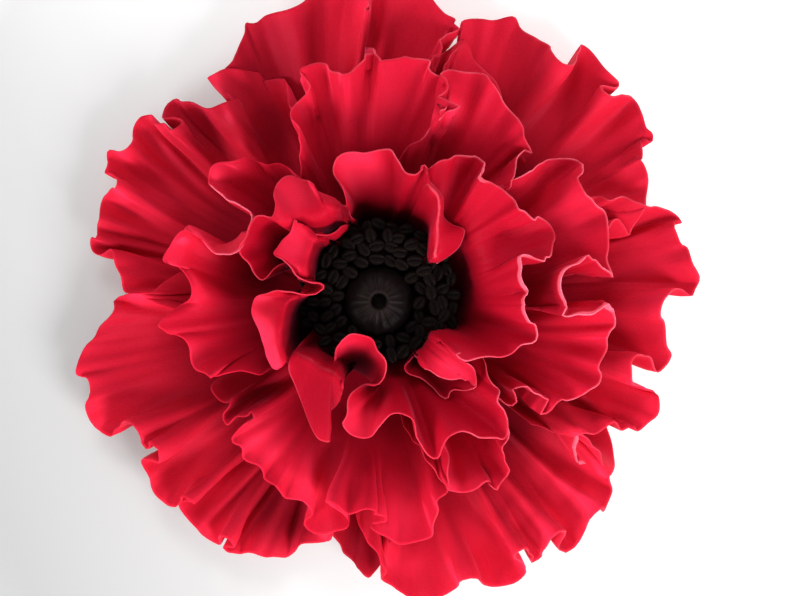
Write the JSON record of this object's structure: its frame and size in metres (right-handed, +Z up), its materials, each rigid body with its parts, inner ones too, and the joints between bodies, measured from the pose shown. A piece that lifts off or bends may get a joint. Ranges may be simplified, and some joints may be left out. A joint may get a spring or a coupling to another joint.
{
  "type": "poppy flower",
  "caption": "Double poppy flower head with ruffled petals in three cupped rings round a ribbed seed capsule and a dense ring of stamens.",
  "frame": {"origin": "on the surface that the flower lies on, under the middle of its spread", "axes": "+Z up out of the open face of the flower, +Y towards the broad top petal, +X towards its right"},
  "size_m": [0.1478, 0.1504, 0.0411],
  "materials": {
    "petal": "matte",
    "capsule": "satin",
    "stamens": "matte",
    "base": "matte"
  },
  "bodies": {
    "root": {"flower_base": "base", "seed_capsule": "capsule", "petal_outer_bottom_small": "petal", "petal_outer_bottom": "petal", "petal_outer_right_small": "petal", "petal_outer_right": "petal", "petal_outer_upper_right": "petal", "petal_outer_top": "petal", "petal_outer_upper_left": "petal", "petal_outer_lower_left": "petal", "petal_outer_upper_right_small": "petal", "petal_middle_bottom": "petal", "petal_middle_lower_right": "petal", "petal_middle_right": "petal", "petal_middle_upper_right": "petal", "petal_middle_top": "petal", "petal_middle_left": "petal", "petal_inner_bottom": "petal", "petal_inner_small": "petal", "petal_inner_right": "petal", "petal_inner_top": "petal", "petal_inner_upper_left": "petal", "petal_inner_left": "petal", "petal_inner_lower_left": "petal", "stamens_01": "stamens", "stamens_02": "stamens", "stamens_03": "stamens", "stamens_04": "stamens", "stamens_05": "stamens", "stamens_06": "stamens", "stamens_07": "stamens", "stamens_08": "stamens", "stamens_09": "stamens", "stamens_10": "stamens", "stamens_11": "stamens", "stamens_12": "stamens"}
  },
  "joints": []
}
